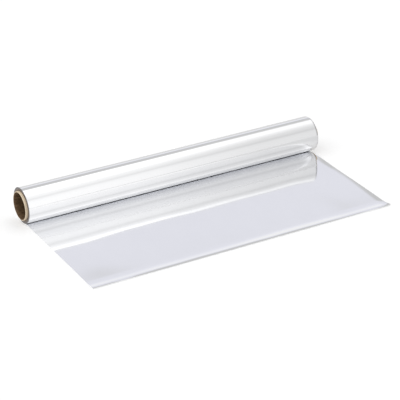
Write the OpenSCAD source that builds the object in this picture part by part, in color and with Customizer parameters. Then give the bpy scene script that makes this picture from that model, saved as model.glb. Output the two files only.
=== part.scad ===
// Household foil roll. The roll lies along X on a table at Z = 0, with a length of foil
// drawn out flat towards -Y. X and Y are measured from the middle of its footprint.

/* [Foil] */
// Width of the foil, which is the length of the roll
foil_w = 300; // [200:1:450]
// Depth of foil wound on the core tube
wound_depth = 3.45; // [2:0.05:20]
// Length drawn out, from under the roll to the cut edge, along the foil
drawn_l = 136; // [60:1:400]
// Thickness given to the foil, in place of the real 0.014
foil_t = 0.25; // [0.15:0.01:0.3]

/* [Turns] */
// Distance between the turns that show at the ends, each a bundle of about thirty real ones
turn_pitch = 0.45; // [0.4:0.05:1]
// How far the turns stand out at each end
turn_relief = 0.3; // [0.1:0.05:1]

/* [Cut edge] */
// Length of foil behind the cut edge that keeps some of the roll's curl
curl_l = 14; // [4:1:30]
// Radius that this length curls up to
curl_r = 110; // [60:5:400]

/* [Core tube] */
// Outside diameter of the core tube
core_d = 26.5; // [18:0.5:80]
// Wall of the core tube
core_wall = 0.8; // [0.5:0.1:3]
// How far the core tube stands out of the foil at each end
core_out = 2.8; // [0:0.1:10]
// Width of the worn edge round the outside of each end of the core tube
core_edge = 0.25; // [0.05:0.05:0.4]
// Clearance between the core tube and the first turn
core_gap = 0.05; // [0:0.01:0.3]

/* [Hidden] */

$fn = 96;
turn_steps = 60;
curl_steps = 8;
cut_past = 1;

hole_r = core_d / 2 + core_gap;
roll_r = hole_r + wound_depth;
core_l = foil_w + 2 * core_out;

// Whole turns that fit in the wound depth, with a clear ring left at the core tube
turns = floor((wound_depth - 2 * foil_t) / turn_pitch);

// The curl is an arc, so its reach over the table is a little less than its length
curl_a = curl_l / curl_r * 180 / PI;
flat_l = drawn_l - curl_l;
front = flat_l + (curl_r + foil_t / 2) * sin(curl_a);
back = roll_r - turn_pitch / 4;
roll_y = (front - back) / 2;

// The foil is followed backwards, from under the roll round its back, by an angle a that
// grows 360 a turn. side is -1 on the foil's face towards the core tube and 1 on its other.
function turn_point(a, side) =
    let (r = roll_r - foil_t / 2 + side * foil_t / 2 - turn_pitch * a / 360)
    [r * sin(a), roll_r - r * cos(a)];

// Points of the drawn length: b grows from 0, where the curl starts, to curl_a at the cut edge
function curl_point(b, side) =
    let (r = curl_r + side * foil_t / 2)
    [-flat_l - r * sin(b), curl_r + foil_t / 2 - r * cos(b)];

function turn_side(side, last) =
    [for (i = [0 : last * turn_steps]) turn_point(360 * i / turn_steps, side)];

function curl_side(side) =
    [for (i = [0 : curl_steps]) curl_point(curl_a * i / curl_steps, side)];

function reversed(points) =
    [for (i = [len(points) - 1 : -1 : 0]) points[i]];

// The whole foil on edge: cut edge, drawn length, then every turn in to the core tube
module foil_on_edge() {
    polygon(concat(
        reversed(curl_side(1)), turn_side(1, turns),
        reversed(turn_side(-1, turns)), curl_side(-1)
    ));
}

// The pack of turns behind the relief, out to the middle of the last turn
module packed_turns() {
    polygon(turn_side(0, 1));
}

// Carries a section drawn in Y and Z along X, centred on the roll
module along_roll(length) {
    rotate([90, 0, 90])
        linear_extrude(height = length, center = true)
            children();
}

module foil() {
    color([0.87, 0.87, 0.90])
    translate([0, roll_y, 0])
    difference() {
        union() {
            along_roll(foil_w) foil_on_edge();
            along_roll(foil_w - 2 * turn_relief) packed_turns();
        }
        translate([0, 0, roll_r])
            rotate([0, 90, 0])
                cylinder(h = core_l, r = hole_r, center = true);
    }
}

module core_tube() {
    color([0.80, 0.67, 0.49])
    translate([0, roll_y, roll_r])
    rotate([0, 90, 0])
    difference() {
        union() {
            cylinder(h = core_l - 2 * core_edge, r = core_d / 2, center = true);
            cylinder(h = core_l, r = core_d / 2 - core_edge, center = true);
            for (end = [0, 1])
                mirror([0, 0, end])
                    translate([0, 0, core_l / 2 - core_edge])
                        cylinder(h = core_edge, r1 = core_d / 2, r2 = core_d / 2 - core_edge);
        }
        cylinder(h = core_l + 2 * cut_past, r = core_d / 2 - core_wall, center = true);
    }
}

core_tube();
foil();
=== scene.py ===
"""Household foil roll: looks, floor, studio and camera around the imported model.

Lengths are in metres and angles in radians, unless a comment says otherwise. The roll lies
along X, the drawn-out foil runs towards -Y, and Z = 0 is the table.
"""
import math

import bpy
import numpy as np
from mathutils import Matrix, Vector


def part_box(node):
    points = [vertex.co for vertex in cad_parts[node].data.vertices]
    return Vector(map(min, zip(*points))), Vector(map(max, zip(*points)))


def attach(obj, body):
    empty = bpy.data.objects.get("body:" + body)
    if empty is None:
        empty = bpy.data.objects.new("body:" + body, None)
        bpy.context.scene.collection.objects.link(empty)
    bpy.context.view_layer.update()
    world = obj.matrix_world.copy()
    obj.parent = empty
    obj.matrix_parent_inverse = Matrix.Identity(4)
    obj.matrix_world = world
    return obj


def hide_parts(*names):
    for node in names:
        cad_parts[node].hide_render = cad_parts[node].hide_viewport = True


MM = 0.001

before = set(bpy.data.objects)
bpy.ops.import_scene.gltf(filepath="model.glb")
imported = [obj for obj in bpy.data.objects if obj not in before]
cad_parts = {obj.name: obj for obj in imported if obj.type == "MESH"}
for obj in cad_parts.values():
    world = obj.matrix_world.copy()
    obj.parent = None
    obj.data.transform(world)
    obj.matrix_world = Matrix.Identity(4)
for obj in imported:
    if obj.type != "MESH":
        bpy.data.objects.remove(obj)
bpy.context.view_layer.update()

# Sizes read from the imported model
core_low, core_high = (np.array(corner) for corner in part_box("core_tube"))
foil_low, foil_high = (np.array(corner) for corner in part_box("foil"))
CORE_R = (core_high[2] - core_low[2]) / 2
CORE_END = core_high[0]
FOIL_END = foil_high[0]
AXIS_Y = (core_low[1] + core_high[1]) / 2
AXIS_Z = (core_low[2] + core_high[2]) / 2
ROLL_R = AXIS_Z - foil_low[2]
CUT_EDGE = AXIS_Y - foil_low[1]

# Core tube. Its left mouth is a little further out than the solid's, as in the photograph.
BORE_R = CORE_R - 0.8 * MM
CORE_LEFT = CORE_END + 0.35 * MM
PLY_WIDTH = 42 * MM
SEAM_DEPTH = 0.09 * MM
SEAM_WIDTH = 0.45 * MM
END_WEAR = 0.25 * MM
FACE_IN = 0.07 * MM
FRAY = 0.06 * MM
FRAY_STRETCH = 40

# Colours: the lining turns pale over PALE_FROM to PALE_TO of the wall, and its painted shade inside
# the tube lightens over the last MOUTH_L. The foil's ends carry painted shade and a painted brown
# reflection of the core near the hole, fading from the first distance below outside the hole to plain
# dull metal at the second inside the roll's surface.
PALE_FROM, PALE_TO = 0.12 * MM, 0.3 * MM
MOUTH_L = 5 * MM
PAINTED_SHADE_FROM, PAINTED_SHADE_TO = 0.3 * MM, 0.4 * MM

# Wound foil: its ends, and the seat of the core tube
ROLL_LEFT = FOIL_END + 1.0 * MM
ROLL_RIGHT = FOIL_END + 0.6 * MM
HOLE_R = CORE_R + 0.05 * MM
TURN_PITCH = 0.45 * MM
TURN_RELIEF = 0.22 * MM
TURNED_IN = 0.14 * MM
TURNED_IN_L = 1.4 * MM

# Outermost turn. It wanders sideways, out to WOUND_LEFT and WOUND_RIGHT.
SHEET_T = 0.05 * MM
SHEET_PITCH = 0.12 * MM
WRAP_ANGLE = math.radians(400)
SHEET_LEFT = FOIL_END - 0.45 * MM
SHEET_RIGHT = FOIL_END - 0.75 * MM
WOUND_LEFT = ROLL_LEFT - 0.05 * MM
WOUND_RIGHT = ROLL_RIGHT - 0.35 * MM
WANDER_L = 40 * MM
WOUND_WAVE = 0.012 * MM

# Angles round the roll over which three forms of the outermost turn set in
TURNED_IN_ANGLE = 0.3
WOUND_WAVE_ANGLE = 0.6
WANDER_ANGLE = 0.8

# Drawn length. DRAWN_L is the cut edge's reach, with what the arc at the edge takes up.
CURL_L = 14 * MM
CURL_R = 120 * MM
CURL_UNEVEN = 0.10
DRAWN_L = CUT_EDGE + CURL_L - CURL_R * math.sin(CURL_L / CURL_R)
SET_IN_L = 30 * MM
LONG_WAVE = 0.045 * MM
RIPPLE = 0.013 * MM

# Swelling of the drawn length. SWELL_AT and SWELL_L lie along the foil, the others across it.
SWELL = 0.55 * MM
SWELL_AT = 95 * MM
SWELL_L = 50 * MM
SWELL_LEFT, SWELL_LEFT_L = 75 * MM, 50 * MM
SWELL_RIGHT, SWELL_RIGHT_L = 92 * MM, 28 * MM
SWELL_SIDE, SWELL_SIDE_L = 125 * MM, 25 * MM
SWELL_MIDDLE, SWELL_MIDDLE_L = -15 * MM, 30 * MM
RIGHT_SHARE = 0.85
MIDDLE_SHARE = 0.25
SIDE_FALL = 0.3

# Lift of the drawn length's right side, and the wider lift near the roll
SIDE_L = 6 * MM
SIDE_LIFT = 0.46 * MM
ROLL_SIDE_L = 14 * MM
ROLL_SIDE_LIFT = 0.40 * MM
ROLL_SIDE_RISE = 12 * MM
ROLL_SIDE_FALL, ROLL_SIDE_FALL_L = 22 * MM, 28 * MM

# Cut edge: how far it is bent down, and its right corner drawn out
CUT_L = 4 * MM
CUT_DROP = 0.53 * MM
CUT_SHARE = 1.03
CUT_UNEVEN = 0.13
CUT_LEFT, CUT_RIGHT, CUT_CORNER_L = 85 * MM, 78 * MM, 20 * MM
CUT_LEFT_FALL, CUT_RIGHT_FALL = 0.40, 0.45
TIP = 1.3 * MM
TIP_L = 8 * MM

# Points of the meshes: across the foil, along it, and round and along the two rings
FOIL_FINE = np.array([0, 0.3, 0.6, 0.95, 1.4, 1.9, 2.4, 3.0, 3.7, 4.5, 5.5]) * MM
FOIL_FINE_L = 7 * MM
FOIL_EVEN = 117
WRAP_POINTS, FLAT_POINTS, CURL_POINTS, CUT_POINTS = 131, 73, 13, 11
FOIL_AROUND, FOIL_RINGS = 180, 96
CORE_FINE = np.arange(0, 12, 0.35) * MM
CORE_FINE_L = 12 * MM
CORE_EVEN = 201
CORE_AROUND, CORE_RINGS = 144, 9

# Floor. In mirror rays its own light falls from FLOOR_LIGHT to FLOOR_LIGHT_RIGHT between two
# places along X, FLOOR_FALL_FROM and FLOOR_FALL_TO.
FLOOR_HALF = 12.0
FLOOR_DROP = 0.2 * MM
FLOOR_WHITE = (0.80, 0.80, 0.80)
FLOOR_LIGHT = 0.36
FLOOR_LIGHT_RIGHT = 0.06
FLOOR_FALL_FROM, FLOOR_FALL_TO = 120 * MM, 170 * MM

# Camera, fitted to the outline in the photograph; the two angles are in degrees
VIEW_TARGET = (0.00657, 0.01847, 0.0001)
VIEW_AZIMUTH = -29.92
VIEW_ELEVATION = 27.33
VIEW_DISTANCE = 1.5374
VIEW_LENS = 152.5


def smooth(value):
    """Eases a value held between 0 and 1: 3 v^2 - 2 v^3."""
    value = np.clip(value, 0, 1)
    return value * value * (3 - 2 * value)


def eased(value, start, length):
    """Goes smoothly from 0 at start to 1 a length further on."""
    return smooth((value - start) / length)


def squared(value, end, length):
    """Grows with the square from 0 to 1 over the last length before end."""
    return np.clip((value - (end - length)) / length, 0, 1) ** 2


def waves(x, y, seed, long_x, long_y, count=6):
    """Sum of sines with random directions and phases, mostly -1 to 1, long_x and long_y long."""
    rng = np.random.default_rng(seed)
    total = np.zeros(np.broadcast(x, y).shape)
    for _ in range(count):
        turn, phase = rng.uniform(0, 2 * np.pi, 2)
        stretch = rng.uniform(0.7, 1.6)
        along_x = x * np.cos(turn) / long_x
        along_y = y * np.sin(turn) / long_y
        total += np.sin(2 * np.pi * stretch * (along_x + along_y) + phase)
    return total / count ** 0.5


def grid_faces(rows, columns, closed=False):
    """Quads between neighbours on a rows by columns grid, wrapping round both ways if closed."""
    i = np.arange(rows if closed else rows - 1)
    j = np.arange(columns if closed else columns - 1)
    i, j = (a.ravel() for a in np.meshgrid(i, j, indexing="ij"))
    below, beside = (i + 1) % rows, (j + 1) % columns
    return np.stack([i * columns + j, below * columns + j, below * columns + beside,
                     i * columns + beside], 1)


def add_piece(name, points, faces, lay=None, shade_smooth=True):
    """Mesh object from points and quads, with an optional coordinate that follows the surface."""
    mesh = bpy.data.meshes.new(name)
    mesh.from_pydata(points.reshape(-1, 3).tolist(), [], faces.tolist())
    if lay is not None:
        attribute = mesh.attributes.new("lay", "FLOAT_VECTOR", "POINT")
        attribute.data.foreach_set("vector", lay.reshape(-1, 3).astype(np.float32).ravel())
    mesh.polygons.foreach_set("use_smooth", np.full(len(mesh.polygons), shade_smooth))
    mesh.update()
    piece = bpy.data.objects.new(name, mesh)
    bpy.context.scene.collection.objects.link(piece)
    return piece


def add_ring(name, rows, turn):
    """Piece from rows of points round the roll's axis, closed both ways.

    Its lay is the place along X, the distance from the axis, and turn, an angle or 0.
    """
    radius = np.hypot(rows[..., 1] - AXIS_Y, rows[..., 2] - AXIS_Z)
    lay = np.stack([rows[..., 0], radius, np.broadcast_to(turn, radius.shape)], -1)
    return add_piece(name, rows, grid_faces(*radius.shape, closed=True), lay)


def revolve(x, radius, angles):
    """Points at x and radius carried round the roll's axis, with the angles counted from below."""
    x, radius, angles = np.broadcast_arrays(x, radius, angles)
    return np.stack([x, AXIS_Y + radius * np.sin(angles), AXIS_Z - radius * np.cos(angles)], -1)


def full_circle(count):
    """Angles evenly round the roll."""
    return np.linspace(0, 2 * np.pi, count, endpoint=False)


def along_piece(left, right, fine, fine_l, even):
    """Places from -left to right: even ones, with the fine ones within fine_l of each side."""
    middle = np.linspace(fine_l - left, right - fine_l, even)
    return np.concatenate([fine - left, middle, (right - fine)[::-1]])


def across_foil(left, right):
    """Places across the foil from -left to right, finer near the two sides."""
    return along_piece(left, right, FOIL_FINE, FOIL_FINE_L, FOIL_EVEN)


def turn_r(angle):
    """Radius of the middle of the outermost turn, which falls by one pitch each time round."""
    return ROLL_R - SHEET_T / 2 - SHEET_PITCH * angle / (2 * np.pi)


def turned_in(x):
    """Fall in radius at the right end of the roll."""
    return TURNED_IN * squared(x, SHEET_RIGHT, TURNED_IN_L)


def wound_waves(x, angle):
    """Slight unevenness of the wound surface, in radius, from tension along and round the roll."""
    set_in = np.clip(angle / WOUND_WAVE_ANGLE, 0, 1)
    return set_in * WOUND_WAVE * waves(x, angle, seed=23, long_x=100 * MM, long_y=2.2)


def wander(x, angle):
    """Sideways wandering of the wound turns, which ends a little past the drawn length's sides."""
    left = (WOUND_LEFT - SHEET_LEFT) * eased(-x, SHEET_LEFT - WANDER_L, WANDER_L)
    right = (WOUND_RIGHT - SHEET_RIGHT) * eased(x, SHEET_RIGHT - WANDER_L, WANDER_L)
    return eased(angle, 0, WANDER_ANGLE) * (right - left)


def table_waves(x, drawn):
    """Low waves and ripples of the drawn length, none where it leaves the roll.

    The 1.6 and the 1 raise them, so that they stay on or above the table.
    """
    long_waves = 1.6 + waves(x, drawn, seed=11, long_x=160 * MM, long_y=90 * MM)
    ripples = 1 + waves(x, drawn, seed=41, long_x=45 * MM, long_y=40 * MM)
    return eased(drawn, 0, SET_IN_L) * (LONG_WAVE * long_waves + RIPPLE * ripples)


def swell(x, drawn):
    """Swelling of the drawn length near its two sides, and a little in between.

    Each side's falls off again by SIDE_FALL. Along the foil it is a cosine wave, SWELL_L to
    each side of SWELL_AT.
    """
    left = eased(-x, SWELL_LEFT, SWELL_LEFT_L) * (1 - SIDE_FALL * eased(-x, SWELL_SIDE, SWELL_SIDE_L))
    right = eased(x, SWELL_RIGHT, SWELL_RIGHT_L) * (1 - SIDE_FALL * eased(x, SWELL_SIDE, SWELL_SIDE_L))
    middle = MIDDLE_SHARE * np.exp(-((x - SWELL_MIDDLE) / SWELL_MIDDLE_L) ** 2)
    along = 0.5 + 0.5 * np.cos(np.pi * np.clip((drawn - SWELL_AT) / SWELL_L, -1, 1))
    return SWELL * (left + RIGHT_SHARE * right + middle) * along


def side_lift(x, drawn):
    """Lift of the right side over SIDE_L, and near the roll a wider one over ROLL_SIDE_L.

    Both grow with the square. The left side lies flat.
    """
    by_roll = eased(drawn, 0, ROLL_SIDE_RISE) * (1 - eased(drawn, ROLL_SIDE_FALL, ROLL_SIDE_FALL_L))
    narrow = eased(drawn, 0, SET_IN_L) * SIDE_LIFT * squared(x, SHEET_RIGHT, SIDE_L)
    return narrow + ROLL_SIDE_LIFT * squared(x, SHEET_RIGHT, ROLL_SIDE_L) * by_roll


def cut_drop(x, drawn):
    """Drop of the last CUT_L, which the cutter bent down, growing with the square.

    Its depth is about CUT_DROP, uneven along the cut, and falls off towards the two corners.
    """
    right = CUT_RIGHT_FALL * eased(x, CUT_RIGHT, CUT_CORNER_L)
    left = CUT_LEFT_FALL * eased(-x, CUT_LEFT, CUT_CORNER_L)
    share = CUT_SHARE + CUT_UNEVEN * waves(x, 0 * x, seed=17, long_x=35 * MM, long_y=1)
    return CUT_DROP * (share - (right + left)) * squared(drawn, DRAWN_L, CUT_L)


def corner_tip(x, drawn):
    """How far the cutter drew the right corner of the cut edge out sideways."""
    return TIP * eased(drawn, DRAWN_L - TIP_L, TIP_L) * eased(x, SHEET_RIGHT - TIP_L, TIP_L)


def sheet_centre(x, s):
    """Middle surface of the outermost turn and the drawn length.

    s is the distance along the foil from under the roll: below 0 it is wound, and the point is
    turn_r from the axis at the angle -s / ROLL_R, up round the back. Above 0 it lies on the table
    with its low forms, and over the last CURL_L it follows an arc of about CURL_R upwards.
    """
    angle = np.maximum(-s, 0) / ROLL_R
    end_share = np.clip(angle / TURNED_IN_ANGLE, 0, 1)
    radius = turn_r(angle) + wound_waves(x, angle) - turned_in(x) * end_share
    drawn = np.maximum(s, 0)
    curl_r = CURL_R * (1 + CURL_UNEVEN * waves(x, 0 * x, seed=5, long_x=190 * MM, long_y=1))
    curl = np.maximum(drawn - (DRAWN_L - CURL_L), 0) / curl_r
    flat = np.minimum(drawn, DRAWN_L - CURL_L)
    y = AXIS_Y + radius * np.sin(angle) - flat - curl_r * np.sin(curl)
    z = AXIS_Z - radius * np.cos(angle) + curl_r * (1 - np.cos(curl))
    z = z + table_waves(x, drawn) + swell(x, drawn) + side_lift(x, drawn) - cut_drop(x, drawn)
    return np.stack([x + corner_tip(x, drawn) + wander(x, angle), y, z], -1)


def rim_loop(rows, columns):
    """Points of a grid round its four edges."""
    index = np.arange(rows * columns).reshape(rows, columns)
    return np.concatenate([index[0, :], index[1:, -1], index[-1, -2::-1], index[-2:0:-1, 0]])


def rim_faces(loop, count):
    """Quads that join a sheet's upper face, of count points, to the lower one numbered after it."""
    following = np.roll(loop, -1)
    return np.stack([following, loop, loop + count, following + count], 1)


def mark_sharp_rim(piece, loop, count):
    """Marks the edges between the sheet's faces and its rim as sharp, so that each shades flat.

    The upper face has count points, and the lower one's are numbered after them.
    """
    on_rim = np.zeros(2 * count, bool)
    on_rim[loop] = on_rim[loop + count] = True
    mesh = piece.data
    ends = np.zeros(len(mesh.edges) * 2, np.int32)
    mesh.edges.foreach_get("vertices", ends)
    ends = ends.reshape(-1, 2)
    same_side = (ends[:, 0] < count) == (ends[:, 1] < count)
    attribute = mesh.attributes.new("sharp_edge", "BOOLEAN", "EDGE")
    attribute.data.foreach_set("value", on_rim[ends].all(1) & same_side)


def drawn_foil():
    """The outermost turn and the drawn length: sheet_centre, moved half a thickness each way."""
    wound = -np.linspace(WRAP_ANGLE * ROLL_R, 0, WRAP_POINTS)[:-1]
    flat = np.linspace(0, DRAWN_L - CURL_L, FLAT_POINTS)[:-1]
    curl = np.linspace(DRAWN_L - CURL_L, DRAWN_L - CUT_L, CURL_POINTS)[:-1]
    cut = np.linspace(DRAWN_L - CUT_L, DRAWN_L, CUT_POINTS)
    s, x = np.meshgrid(np.concatenate([wound, flat, curl, cut]),
                       across_foil(SHEET_LEFT, SHEET_RIGHT), indexing="ij")
    centre = sheet_centre(x, s)
    along, across = np.gradient(centre, axis=(0, 1))
    normal = np.cross(across, along)
    normal /= np.linalg.norm(normal, axis=2, keepdims=True)
    points = np.stack([centre + normal * SHEET_T / 2, centre - normal * SHEET_T / 2])
    faces = grid_faces(*s.shape)
    loop = rim_loop(*s.shape)
    lay = np.stack([x, s, 0 * s], -1)
    piece = add_piece("drawn_foil", points,
                      np.concatenate([faces[:, ::-1], faces + s.size, rim_faces(loop, s.size)]),
                      np.stack([lay, lay]))
    mark_sharp_rim(piece, loop, s.size)
    return piece


def turn_relief(radius, angle):
    """Depth of the end face behind its crests.

    The phase (ROLL_R - radius) / TURN_PITCH - angle / full circle is constant along a turn, so a
    profile of the phase makes a spiral. A finer spiral, three to a turn, and slow waves make it
    uneven. The four shares of TURN_RELIEF add up to 1.
    """
    phase = (ROLL_R - radius) / TURN_PITCH - angle / (2 * np.pi)
    bundle = 0.5 - 0.5 * np.cos(2 * np.pi * phase)
    fine = 0.5 - 0.5 * np.cos(2 * np.pi * 3 * phase + 1.0)
    slow = 0.5 + 0.5 * np.sin(0.9 * phase + 0.6 * np.sin(angle))
    return TURN_RELIEF * (0.15 + 0.55 * bundle * slow + 0.2 * fine + 0.1 * slow)


def wound_foil():
    """The turns under the outermost one: a closed ring whose end faces show the turns in relief."""
    outer = turn_r(WRAP_ANGLE) - SHEET_T
    angles = full_circle(FOIL_AROUND)
    rings = np.linspace(HOLE_R, outer - TURNED_IN, FOIL_RINGS)[:, None]
    share = (across_foil(FOIL_END, FOIL_END)[1:-1, None] / FOIL_END + 1) / 2
    depth = turn_relief(rings, angles)
    left_x, right_x = TURN_RELIEF - ROLL_LEFT, ROLL_RIGHT - TURN_RELIEF
    along = left_x + (right_x - left_x) * share
    left = revolve(depth - ROLL_LEFT, rings, angles)
    right = revolve(ROLL_RIGHT - depth, rings, angles)
    skin = revolve(along, outer - turned_in(along), angles)
    lining = revolve(along, HOLE_R, angles)
    return add_ring("wound_foil", np.concatenate([left, skin, right[::-1], lining[::-1]]), 0)


def core_seam(x, angle):
    """How near a point is to the spiral seam between two plies, 1 on it and 0 away from it."""
    phase = x / PLY_WIDTH + angle / (2 * np.pi)
    off = np.abs(phase - np.round(phase)) * PLY_WIDTH
    return np.exp(-(off / SEAM_WIDTH) ** 2)


def core_board():
    """The core tube: a closed ring with a spiral seam outside and inside and worn, frayed ends."""
    angles = full_circle(CORE_AROUND)[None, :]
    along = along_piece(CORE_LEFT - END_WEAR, CORE_END - END_WEAR,
                        CORE_FINE, CORE_FINE_L, CORE_EVEN)[:, None]
    wall = np.linspace(BORE_R, CORE_R - END_WEAR, CORE_RINGS)[:, None]
    outside = CORE_R - SEAM_DEPTH * core_seam(along, angles)
    inside = BORE_R + SEAM_DEPTH * core_seam(along + PLY_WIDTH / 2, angles)
    fray = FRAY * waves(wall * FRAY_STRETCH, angles, seed=31, long_x=12 * MM, long_y=0.6)
    left = revolve(-CORE_LEFT + FACE_IN + fray, wall, angles)
    right = revolve(CORE_END - FACE_IN - fray[:, ::-1], wall, angles)
    skin = revolve(along, outside, angles)
    lining = revolve(along, inside, angles)
    return add_ring("core_board", np.concatenate([left, skin, right[::-1], lining[::-1]]), angles)


def new_material(name):
    """Empty node material, returned as (material, node tree, Principled shader)."""
    material = bpy.data.materials.new(name)
    material.use_nodes = True
    return material, material.node_tree, material.node_tree.nodes["Principled BSDF"]


def feed(tree, node, inputs):
    """Sets a node's inputs, by name or place: links an output, or writes a number or a colour."""
    for key, value in inputs.items():
        socket = node.inputs[key]
        if isinstance(value, bpy.types.NodeSocket):
            tree.links.new(value, socket)
        elif socket.type == "RGBA":
            socket.default_value = (*value, 1)
        else:
            socket.default_value = value


def add_node(tree, kind, inputs):
    """New node with its inputs set."""
    node = tree.nodes.new(kind)
    feed(tree, node, inputs)
    return node


def calculated(tree, operation, *values):
    """Result of a calculation with one or two values."""
    node = tree.nodes.new("ShaderNodeMath")
    node.operation = operation
    feed(tree, node, dict(enumerate(values)))
    return node.outputs["Value"]


def mixed(tree, share, first, second, kind="RGBA", blend="MIX"):
    """Goes from the first to the second with the share; both are colours, or numbers if FLOAT."""
    node = tree.nodes.new("ShaderNodeMix")
    node.data_type = kind
    node.blend_type = blend
    feed(tree, node, {"Factor": share, "A": first, "B": second})
    return node.outputs["Result"]


def ranged(tree, value, low, high, start=0.3, stop=0.7):
    """The value, from start to stop, carried to low and high and held there beyond.

    Most of a noise lies between 0.3 and 0.7.
    """
    return add_node(tree, "ShaderNodeMapRange", {
        "Value": value, "From Min": start, "From Max": stop,
        "To Min": low, "To Max": high}).outputs["Result"]


def parts(tree, vector):
    """The X, Y and Z of a vector, by those names."""
    return add_node(tree, "ShaderNodeSeparateXYZ", {"Vector": vector}).outputs


def lay_vector(tree):
    """The coordinate that follows the surface, which add_piece keeps with the points."""
    node = tree.nodes.new("ShaderNodeAttribute")
    node.attribute_name = "lay"
    return node.outputs["Vector"]


def noise_on_lay(tree, scale, detail=4.0, roughness=0.6):
    """Noise on the coordinate that follows the surface, stretched by the three scales."""
    place = add_node(tree, "ShaderNodeMapping", {"Vector": lay_vector(tree), "Scale": scale})
    return add_node(tree, "ShaderNodeTexNoise", {
        "Vector": place.outputs["Vector"], "Scale": 1.0, "Detail": detail,
        "Roughness": roughness}).outputs["Fac"]


def bump(tree, height, distance):
    """Normal of a bump from a height, this distance deep."""
    return add_node(tree, "ShaderNodeBump", {
        "Height": height, "Distance": distance, "Strength": 1.0}).outputs["Normal"]


def bright_foil():
    """Rolled foil: mirror-bright metal with fine rolling lines along the foil's length."""
    material, tree, shader = new_material("bright_foil")
    lines = noise_on_lay(tree, (2600, 9, 1))
    haze = ranged(tree, noise_on_lay(tree, (55, 22, 1), detail=3), 0, 1)
    feed(tree, shader, {
        "Metallic": 1.0,
        "Base Color": mixed(tree, haze, (0.908, 0.911, 0.922), (0.922, 0.925, 0.934)),
        "Roughness": ranged(tree, lines, 0.055, 0.105),
        "Normal": bump(tree, lines, distance=0.0025 * MM)})
    return material


def foil_edges():
    """Foil seen on its cut edges: dull, darker metal in rings, with a painted brown reflection of the
    core and painted shade near the hole.
    """
    material, tree, shader = new_material("foil_edges")
    rings = noise_on_lay(tree, (30, 9000, 1), detail=5)
    mottle = ranged(tree, rings, 0, 1)
    plain_dull_metal = mixed(tree, mottle, (0.20, 0.19, 0.195), (0.37, 0.355, 0.36))
    # Near the hole the edges get a painted brown reflection of the core and painted shade, plain dull
    # metal further out
    painted_reflection_and_shade = mixed(tree, mottle, (0.14, 0.105, 0.07), (0.25, 0.19, 0.135))
    radius = parts(tree, lay_vector(tree))["Y"]
    outward = ranged(tree, radius, 0, 1, HOLE_R + PAINTED_SHADE_FROM, ROLL_R - PAINTED_SHADE_TO)
    feed(tree, shader, {
        "Metallic": 1.0,
        "Base Color": mixed(tree, outward, painted_reflection_and_shade, plain_dull_metal),
        "Roughness": ranged(tree, rings, 0.34, 0.52),
        "Normal": bump(tree, rings, distance=0.05 * MM)})
    return material


def kraft_board():
    """Brown kraft board: fibres along the plies, pale outside and at the ends, and a lining darkened
    with painted shade inside the tube, most away from the mouth."""
    material, tree, shader = new_material("kraft_board")
    fibres = noise_on_lay(tree, (900, 5000, 90), detail=6, roughness=0.7)
    clouds = ranged(tree, noise_on_lay(tree, (60, 700, 3), detail=3), 0, 1)
    blotches = ranged(tree, noise_on_lay(tree, (240, 700, 9)), 0, 1, 0.36, 0.64)
    pale = mixed(tree, ranged(tree, fibres, 0, 1), (0.95, 0.76, 0.54), (1.0, 0.88, 0.68))
    # Painted shade inside the tube: darkest deep in, lighter near the mouth
    deep = mixed(tree, blotches, (0.080, 0.043, 0.014), (0.20, 0.120, 0.052))
    mouth = mixed(tree, blotches, (0.17, 0.10, 0.05), (0.33, 0.21, 0.12))
    lay = parts(tree, lay_vector(tree))
    from_middle = calculated(tree, "ABSOLUTE", lay["X"])
    near_mouth = ranged(tree, from_middle, 0, 1, CORE_END - MOUTH_L, CORE_END)
    outer = ranged(tree, lay["Y"], 0, 1, BORE_R + PALE_FROM, BORE_R + PALE_TO)
    board = mixed(tree, outer, mixed(tree, near_mouth, deep, mouth), pale)
    tint = mixed(tree, clouds, (0.94, 0.93, 0.92), (1, 1, 1))
    feed(tree, shader, {
        "Base Color": mixed(tree, 1.0, board, tint, blend="MULTIPLY"),
        "Roughness": ranged(tree, fibres, 0.75, 0.92),
        "Normal": bump(tree, fibres, distance=0.06 * MM)})
    return material


# Level of the studio by angle, in degrees over the table from the front, up and over to the
# back, where the wall is a little bluer
PLAIN = (1.0, 1.0, 1.0)
BLUISH = (0.985, 0.99, 1.065)
STUDIO = [(0, 1.03, PLAIN), (24, 1.03, PLAIN), (36, 1.01, PLAIN), (43, 0.96, PLAIN),
          (49.5, 0.86, PLAIN), (56, 0.92, PLAIN), (62, 0.97, PLAIN), (69, 1.00, PLAIN),
          (75, 1.06, PLAIN), (82, 1.14, PLAIN), (90, 1.25, PLAIN), (96, 1.36, PLAIN),
          (117, 1.36, PLAIN), (123.5, 0.76, PLAIN), (130, 0.62, PLAIN), (143, 0.60, PLAIN),
          (146.4, 0.815, BLUISH), (150.8, 0.815, BLUISH), (153, 0.88, BLUISH), (156, 0.98, PLAIN),
          (158.5, 0.88, PLAIN), (161, 0.72, PLAIN), (174, 0.76, PLAIN), (180, 0.90, PLAIN)]

# Share of that level by sideways direction from -1, left, to 1, right. It holds in the front
# and top, and goes over to 1 between the two angles of BACK_WALL.
SIDE = [(-1, 1.15), (-0.72, 1.12), (-0.54, 0.82), (-0.30, 0.78), (0, 0.70), (0.22, 0.74),
        (0.31, 1.06), (0.37, 1.06), (0.42, 1.0), (0.48, 0.82), (0.54, 0.80), (0.66, 0.46),
        (1, 0.60)]
BACK_WALL = (118, 124)

# The colour ramps keep their colours at this share of the levels, which is below 1 throughout
RAMP_SHARE = 0.5


def ramp(tree, value, stops):
    """Colour at RAMP_SHARE from a value between 0 and 1, through (place, level, tint) stops."""
    node = add_node(tree, "ShaderNodeValToRGB", {"Fac": value})
    elements = node.color_ramp.elements
    while len(elements) < len(stops):
        elements.new(0.5)
    for element, (place, level, tint) in zip(elements, stops):
        element.position = place
        element.color = (*(level * RAMP_SHARE * part for part in tint), 1)
    return node.outputs["Color"]


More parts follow.
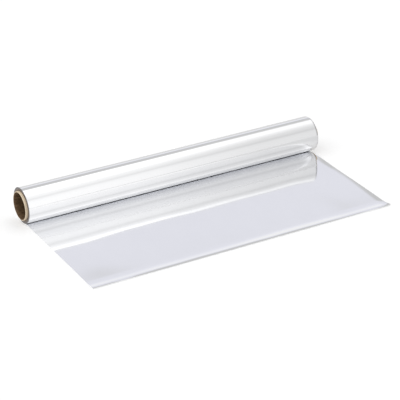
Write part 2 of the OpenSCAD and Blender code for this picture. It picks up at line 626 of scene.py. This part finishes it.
def studio():
    """World: white to the camera, and to other rays a plain room with a soft box overhead."""
    bpy.context.scene.cycles.glossy_bounces = 8
    bpy.context.scene.cycles.max_bounces = 16
    world = bpy.data.worlds.new("studio")
    world.use_nodes = True
    tree = world.node_tree
    tree.nodes.clear()
    direction = parts(tree, tree.nodes.new("ShaderNodeTexCoord").outputs["Generated"])
    forward = calculated(tree, "MULTIPLY", direction["Y"], -1)
    angle = calculated(tree, "ARCTAN2", direction["Z"], forward)
    turn = calculated(tree, "DIVIDE", angle, math.pi)
    colour = ramp(tree, turn, [(degrees / 180, level, tint) for degrees, level, tint in STUDIO])
    sideways = ranged(tree, direction["X"], 0, 1, -1, 1)
    side = ramp(tree, sideways, [((x + 1) / 2, level, PLAIN) for x, level in SIDE])
    side = calculated(tree, "MULTIPLY", side, 1 / RAMP_SHARE)
    back = ranged(tree, turn, 0, 1, *(degrees / 180 for degrees in BACK_WALL))
    level = mixed(tree, back, side, 1.0, kind="FLOAT")
    room = add_node(tree, "ShaderNodeBackground", {
        "Color": colour, "Strength": calculated(tree, "MULTIPLY", level, 1 / RAMP_SHARE)})
    white = add_node(tree, "ShaderNodeBackground", {"Color": PLAIN, "Strength": 1.0})
    rays = tree.nodes.new("ShaderNodeLightPath").outputs
    both = add_node(tree, "ShaderNodeMixShader", {
        "Fac": rays["Is Camera Ray"], 1: room.outputs["Background"],
        2: white.outputs["Background"]})
    add_node(tree, "ShaderNodeOutputWorld", {"Surface": both.outputs["Shader"]})
    bpy.context.scene.world = world


def floor():
    """White table: diffuse, with a little light of its own for camera, mirror and transmission
    rays, so that it shows as white as the room behind it and still keeps the object's shadow."""
    corners = np.array([[-1, -1], [1, -1], [1, 1], [-1, 1]]) * FLOOR_HALF
    points = np.column_stack([corners, np.full(4, -FLOOR_DROP)])
    piece = add_piece("table_top", points, np.array([[0, 1, 2, 3]]), shade_smooth=False)
    material, tree, shader = new_material("white_table")
    rays = tree.nodes.new("ShaderNodeLightPath").outputs
    place = parts(tree, tree.nodes.new("ShaderNodeTexCoord").outputs["Object"])
    light = calculated(tree, "MULTIPLY", rays["Is Glossy Ray"], ranged(
        tree, place["X"], FLOOR_LIGHT, FLOOR_LIGHT_RIGHT, FLOOR_FALL_FROM, FLOOR_FALL_TO))
    for ray in ("Is Camera Ray", "Is Transmission Ray"):
        own = calculated(tree, "MULTIPLY", rays[ray], FLOOR_LIGHT)
        light = calculated(tree, "ADD", light, own)
    feed(tree, shader, {
        "Base Color": FLOOR_WHITE, "Roughness": 1.0, "Specular IOR Level": 0.0,
        "Emission Color": PLAIN, "Emission Strength": light})
    piece.data.materials.append(material)


def camera():
    """Camera at the photograph's angle: distance, azimuth and elevation about the view's target."""
    azimuth, elevation = math.radians(VIEW_AZIMUTH), math.radians(VIEW_ELEVATION)
    back = np.array([math.sin(azimuth) * math.cos(elevation),
                     -math.cos(azimuth) * math.cos(elevation), math.sin(elevation)])
    data = bpy.data.cameras.new("camera")
    data.lens = VIEW_LENS
    data.sensor_width = 36.0
    data.clip_end = 100.0
    item = bpy.data.objects.new("camera", data)
    item.location = np.array(VIEW_TARGET) + back * VIEW_DISTANCE
    item.rotation_euler = (math.pi / 2 - elevation, 0, azimuth)
    bpy.context.scene.collection.objects.link(item)
    bpy.context.scene.camera = item


def dress(piece, material):
    """Gives a piece its material, and has it ride on the object's one body."""
    piece.data.materials.append(material)
    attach(piece, "root")


camera()
studio()
floor()

core = core_board()
dress(core, kraft_board())
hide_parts("core_tube")

wound = wound_foil()
dress(wound, foil_edges())
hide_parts("foil")

drawn = drawn_foil()
dress(drawn, bright_foil())
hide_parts("foil")

bpy.context.scene.view_settings.view_transform = "Standard"
